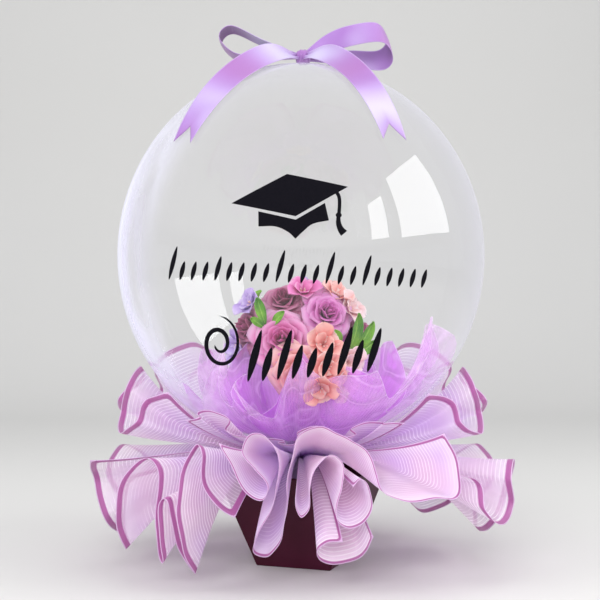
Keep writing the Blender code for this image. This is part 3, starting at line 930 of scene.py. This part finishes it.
# Leaves: root, facing direction, turn about it in degrees, length and width
LEAVES = [
    ((-0.042, -0.056, 0.258), (-0.15, -0.92, 0.38), 112, 0.034, 0.011),
    ((-0.036, -0.058, 0.258), (-0.1, -0.92, 0.38), 52, 0.022, 0.009),
    ((-0.043, -0.054, 0.256), (-0.15, -0.92, 0.38), 150, 0.02, 0.0085),
    ((0.044, -0.058, 0.23), (0.42, -0.88, 0.1), 82, 0.046, 0.0125),
    ((0.048, -0.056, 0.228), (0.42, -0.88, 0.1), 62, 0.044, 0.012),
    ((0.046, -0.058, 0.224), (0.42, -0.88, 0.1), 38, 0.036, 0.011),
    ((0.036, -0.07, 0.24), (0.35, -0.9, 0.25), 120, 0.018, 0.008),
    ((-0.06, 0.024, 0.266), (-0.6, 0.6, 0.5), 100, 0.034, 0.012),
    ((0.044, 0.04, 0.258), (0.5, 0.75, 0.4), 70, 0.036, 0.012),
    ((0.0, 0.052, 0.256), (0.0, 0.9, 0.4), 110, 0.032, 0.011),
]

BUNCH_FOOT = np.array([-0.006, -0.004, 0.150])

# Foot, middle and rim colours of each kind of petal: the foot colour is painted shade in the creases, and
# the rim colour is a painted highlight on the outer petals' rims and the colour of their pale blotches
PETALS = {
    "mauve": ((0.46, 0.004, 0.15), (0.78, 0.17, 0.5), (0.9, 0.56, 0.79)),
    "dusty": ((0.22, 0.01, 0.06), (0.54, 0.12, 0.29), (0.8, 0.4, 0.58)),
    "orchid": ((0.46, 0.02, 0.29), (0.8, 0.2, 0.64), (0.92, 0.58, 0.84)),
    "blush": ((0.86, 0.12, 0.17), (0.94, 0.38, 0.4), (0.97, 0.68, 0.67)),
    "pink": ((0.76, 0.06, 0.4), (0.93, 0.3, 0.68), (0.97, 0.64, 0.85)),
    "lilac": ((0.42, 0.23, 0.68), (0.66, 0.5, 0.85), (0.85, 0.77, 0.95)),
    "cream": ((0.95, 0.52, 0.54), (0.97, 0.79, 0.8), (1.0, 0.92, 0.93)),
    "peach": ((0.95, 0.32, 0.3), (0.98, 0.64, 0.6), (1.0, 0.84, 0.82)),
    "coral": ((0.93, 0.2, 0.19), (0.97, 0.59, 0.54), (1.0, 0.82, 0.78)),
}


def flowers():
    finishes = {kind: petal_finish(kind + " petals", *colours) for kind, colours in PETALS.items()}
    green = leaf_finish()
    heads = []
    for k, (centre, facing, size, kind) in enumerate(ROSES):
        grids, tones = rose_grids(centre, facing, size, 24, 0.9 * k)
        build(f"rose_{k + 1}", grids, finishes[kind], tones=tones, thickness=PETAL_THICKNESS)
        heads.append(np.array(centre) - unit(np.array(facing)) * size * 0.1)
    for k, (centre, facing, size, petals, kind) in enumerate(BLOSSOMS):
        grids, tones = blossom_grids(centre, facing, size, petals, 0.8 * k, (0.95, 0.15))
        inner, inner_tones = blossom_grids(centre, facing, size * 0.7, petals, 0.8 * k + 0.6, (1.25, 0.6))
        build(
            f"blossom_{k + 1}", grids + inner, finishes[kind],
            tones=tones + inner_tones, thickness=PETAL_THICKNESS,
        )
        stamens = stamen_grids(centre, facing, size, 7, 0.8 * k)
        tones = [np.ones(grid.shape[:2]) for grid in stamens]
        build(f"stamens_{k + 1}", stamens, finishes["peach"], tones=tones, closed=True)
        heads.append(np.array(centre))
    leaves = [
        blade_grid(root, facing, math.radians(turn), length, width, (0.7, -0.1), 0.7, 1.0)
        for root, facing, turn, length, width in LEAVES
    ]
    build("leaves", leaves, green, thickness=PETAL_THICKNESS)
    heads += [np.array(root) for root, *_ in LEAVES]
    share = np.linspace(0, 1, 12)[:, None]
    stems = []
    for head in heads:
        bow_out = (head - BUNCH_FOOT) * np.array([1.0, 1.0, 0.0]) * (share**1.6 - share)
        path = BUNCH_FOOT + (head - BUNCH_FOOT) * share + bow_out
        radii = np.full(len(share), 0.0011)
        radii[0] = radii[-1] = 0.00005
        stems.append(tube(path, radii, 8))
    build("stems", stems, green, closed=True)


def tulle():
    violet = tulle_finish("violet tulle", (0.76, 0.28, 0.90), (0.88, 0.54, 0.96), 0.42)
    lilac = tulle_finish("lilac tulle", (0.84, 0.48, 0.93), (0.93, 0.72, 0.97), 0.28)
    foot = (-0.002, -0.004, 0.1285)
    cups = [
        tulle_cup("tulle_cup_inner", foot, 0.108, (0.25, 1.35), 4, 0.50, 9, violet),
        tulle_cup("tulle_cup_outer", foot, 0.124, (0.08, 1.10), 5, 0.55, 11, violet, 0.20, 48.0),
        tulle_cup("tulle_skirt", foot, 0.138, (0.02, 0.92), 6, 0.42, 13, lilac, 0.48, 64.0),
    ]


# Vinyl on the front of the film

# Corners of the flat board and the cap under it: across from the balloon's axis and up from its middle.
# CAP_TURN is the share of the cap's width at which its top line turns.
BOARD = ((-0.0660, 0.0440), (-0.0132, 0.0715), (0.0446, 0.0595), (-0.0050, 0.0308))
CAP_TOP = ((-0.0402, 0.0358), (-0.0050, 0.0276), (0.0226, 0.0436))
CAP_TURN = 0.56
CAP_BELOW = ((-0.0400, 0.0214), (-0.0240, 0.0212), (-0.0122, 0.0160), (-0.0052, 0.0096),
             (0.0022, 0.0166), (0.0112, 0.0236), (0.0263, 0.0270))
TASSEL_CORD = ((0.0325, 0.0556), (0.0358, 0.0500), (0.0364, 0.0424), (0.0357, 0.0330))
TASSEL_BEAD = ((0.0356, 0.0350), (0.0355, 0.0292))
TASSEL_END = ((0.0352, 0.0312), (0.0354, 0.0242), (0.0375, 0.0186), (0.0406, 0.0148))


def on_film(flat):
    """Points given across from the balloon's axis and up from its middle, laid on the film's front."""
    across, up = flat[..., 0], flat[..., 1]
    half_width, _, half_height = BALLOON_HALF + VINYL_THICKNESS
    depth = half_width * np.sqrt(1 - (across / half_width) ** 2 - (up / half_height) ** 2)
    return joined(BALLOON_SHIFT + across, -depth, BALLOON_MIDDLE + up)


def flat_band(line, widths):
    """A flat band along a line on the film, with its width at each point."""
    heading = unit(np.gradient(line, axis=0))
    beside = joined(-heading[:, 1], heading[:, 0])
    place = np.linspace(-0.5, 0.5, 5)
    return on_film(line[:, None] + beside[:, None] * widths[:, None, None] * place[None, :, None])


def brush(points, width, thin=0.15, steps=12):
    """A stroke of a broad brush: a smooth line whose width swells from thin to full and back."""
    line = curve_through(points, steps)
    share = np.linspace(0, 1, len(line))
    swell = thin + (1 - thin) * np.sin(math.pi * share) ** 0.8
    ends = np.clip(np.sin(math.pi * share) * 9, 0.02, 1)
    return flat_band(line, width * swell * ends)


def tapered_band(points, start, end):
    """A flat band along a smooth line, whose width goes from start to end."""
    line = curve_through(points, 12)
    return flat_band(line, np.linspace(start, end, len(line)))


def figure_grids():
    """The cap: a flat board as a bilinear patch, the band between its two lines, and the tassel."""
    place = np.linspace(0, 1, 25)
    u, v = np.meshgrid(place, place)
    left, back, right, front = (np.array(corner) for corner in BOARD)
    u, v = u[..., None], v[..., None]
    board = (left * (1 - u) + back * u) * (1 - v) + (front * (1 - u) + right * u) * v
    lower = np.concatenate([curve_through(CAP_BELOW[:4], 9)[:-1], curve_through(CAP_BELOW[3:], 7)])
    across = np.linspace(0, 1, len(lower))
    upper = joined(*(np.interp(across, (0, CAP_TURN, 1), line) for line in np.transpose(CAP_TOP)))
    depth = np.linspace(0, 1, 9)[:, None, None]
    cap = upper * (1 - depth) + lower * depth
    return [
        on_film(board),
        on_film(cap),
        tapered_band(TASSEL_CORD, 0.0034, 0.0034),
        brush(TASSEL_BEAD, 0.0058),
        tapered_band(TASSEL_END, 0.0036, 0.0074),
    ]


# Rows of strokes: the first one's foot, the step to the next, their heights and their width
TALL_STROKES = {0: 0.0324, 4: 0.0234, 9: 0.0306, 13: 0.0306, 16: 0.0288}
UPPER_HEIGHTS = [TALL_STROKES.get(k, 0.018) for k in range(22)]
UPPER_ROW = ((-0.129, -0.028), (0.246 / 21, -0.008 / 21), UPPER_HEIGHTS, 0.0046)
LOWER_HEIGHTS = (0.052, 0.034, 0.050, 0.034, 0.030, 0.034, 0.048, 0.034, 0.044)
LOWER_ROW = ((-0.052, -0.128), (0.0146, 0.0012), LOWER_HEIGHTS, 0.0074)
SPIRAL_MIDDLE, SPIRAL_WIDTH = (-0.079, -0.090), 0.0042


def row_grids(start, step, heights, width):
    """A row of straight leaning strokes, thin at both ends and all apart. They aren't letters."""
    grids = []
    for k, height in enumerate(heights):
        foot = np.array(start) + np.array(step) * k
        rise = np.array([0.28 * height, height])
        grids.append(brush([foot, foot + rise / 2, foot + rise], width, 0.12))
    return grids


def spiral_grid():
    """The spiral that the lower row starts with."""
    turn = np.linspace(0.2, 3.5 * math.pi, 48)
    growth = 0.005 + 0.0185 * (turn / turn[-1]) ** 1.2
    across, up = SPIRAL_MIDDLE
    spiral = joined(across - growth * np.cos(turn) * 0.9, up - growth * np.sin(turn) * 1.15)
    return brush(spiral, SPIRAL_WIDTH, 0.3, 3)


def vinyl():
    black = vinyl_finish()
    pieces = {
        "vinyl_cap": figure_grids(),
        "vinyl_upper_strokes": row_grids(*UPPER_ROW),
        "vinyl_lower_strokes": [spiral_grid()] + row_grids(*LOWER_ROW),
    }
    for name, grids in pieces.items():
        build(name, grids, black, thickness=VINYL_THICKNESS)


# Stage, lights and camera


def studio():
    """A pale floor that curves up into a backdrop, two panes of a window, and soft panels."""
    bend = np.linspace(0.1, math.pi / 2, 14)
    depth = np.concatenate([np.linspace(-3.5, 1.6, 12), 1.6 + 0.9 * np.sin(bend)])
    height = np.concatenate([np.zeros(12), 0.9 * (1 - np.cos(bend))])
    depth, height = np.append(depth, 2.5), np.append(height, 4.0)
    grid = joined(np.linspace(5, -5, 11), depth[:, None], height[:, None])
    floor = build("studio_floor", [grid], floor_finish())
    light("window_main", (2.0, -0.42, 1.33), (-1, 0, 0), (1.45, 1.35), 5.0, True)
    light("window_second", (2.0, -1.92, 1.20), (-1, 0, 0), (0.70, 1.00), 5.0, True)
    light("left_panel", (-1.7, -0.9, 1.3), (0.85, 0.45, -0.45), (1.0, 1.4), 3.8)
    light("front_panel", (-0.5, -2.6, 1.3), (0.18, 0.92, -0.33), (1.6, 1.2), 8.0)
    light("top_panel", (0.1, -0.2, 2.4), (0, 0, -1), (1.6, 1.6), 1.8)
    world = bpy.data.worlds.new("soft grey surround")
    bpy.context.scene.world = world
    world.use_nodes = True
    surround = world.node_tree.nodes["Background"].inputs
    surround["Color"].default_value = rgb(0.93, 0.95, 1.0)
    surround["Strength"].default_value = 0.70


def light(name, place, heading, size, radiance, mirrored=False):
    """A soft rectangular panel. Its power is its radiance times its area times pi. Only a window is
    mirrored in the film."""
    data = bpy.data.lights.new(name, "AREA")
    data.shape = "RECTANGLE"
    data.size, data.size_y = size
    data.energy = radiance * size[0] * size[1] * math.pi
    lamp = bpy.data.objects.new(name, data)
    lamp.location = place
    lamp.rotation_euler = Vector(heading).to_track_quat("-Z", "Y").to_euler()
    lamp.visible_glossy = mirrored
    bpy.context.scene.collection.objects.link(lamp)


def photo_camera():
    """The photograph's viewpoint: level, straight on, a little below the balloon's middle."""
    data = bpy.data.cameras.new("photo_camera")
    data.lens = 72.84
    data.sensor_width = 36.0
    data.clip_start = 0.05
    camera = bpy.data.objects.new("photo_camera", data)
    camera.location = (-0.0064, -1.337, 0.2866)
    camera.rotation_euler = (math.radians(90), 0, 0)
    bpy.context.scene.collection.objects.link(camera)
    bpy.context.scene.camera = camera


photo_camera()
studio()
pot_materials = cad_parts["pot"].data.materials
pot_materials.clear()
pot_materials.append(card_finish())
bubble()
dense_gauze = gauze_finish("dense ribbed gauze", 0.78, 0.80, DENSE_HEM, 0.50)
sheer_gauze = gauze_finish("sheer ribbed gauze", 0.38, 0.95, SHEER_HEM, 0.35)
for sheet_name, sheet_keys in SHEETS.items():
    in_front = sheet_name in ("wrap_front_right", "wrap_front_middle", "wrap_front_foot", "wrap_front_high")
    gauze_sheet(sheet_name, sheet_keys, dense_gauze if in_front else sheer_gauze)
ribbon_bow(satin_finish())
flowers()
tulle()
vinyl()
bpy.context.scene.cycles.transparent_max_bounces = 32
bpy.context.scene.view_settings.view_transform = "Standard"
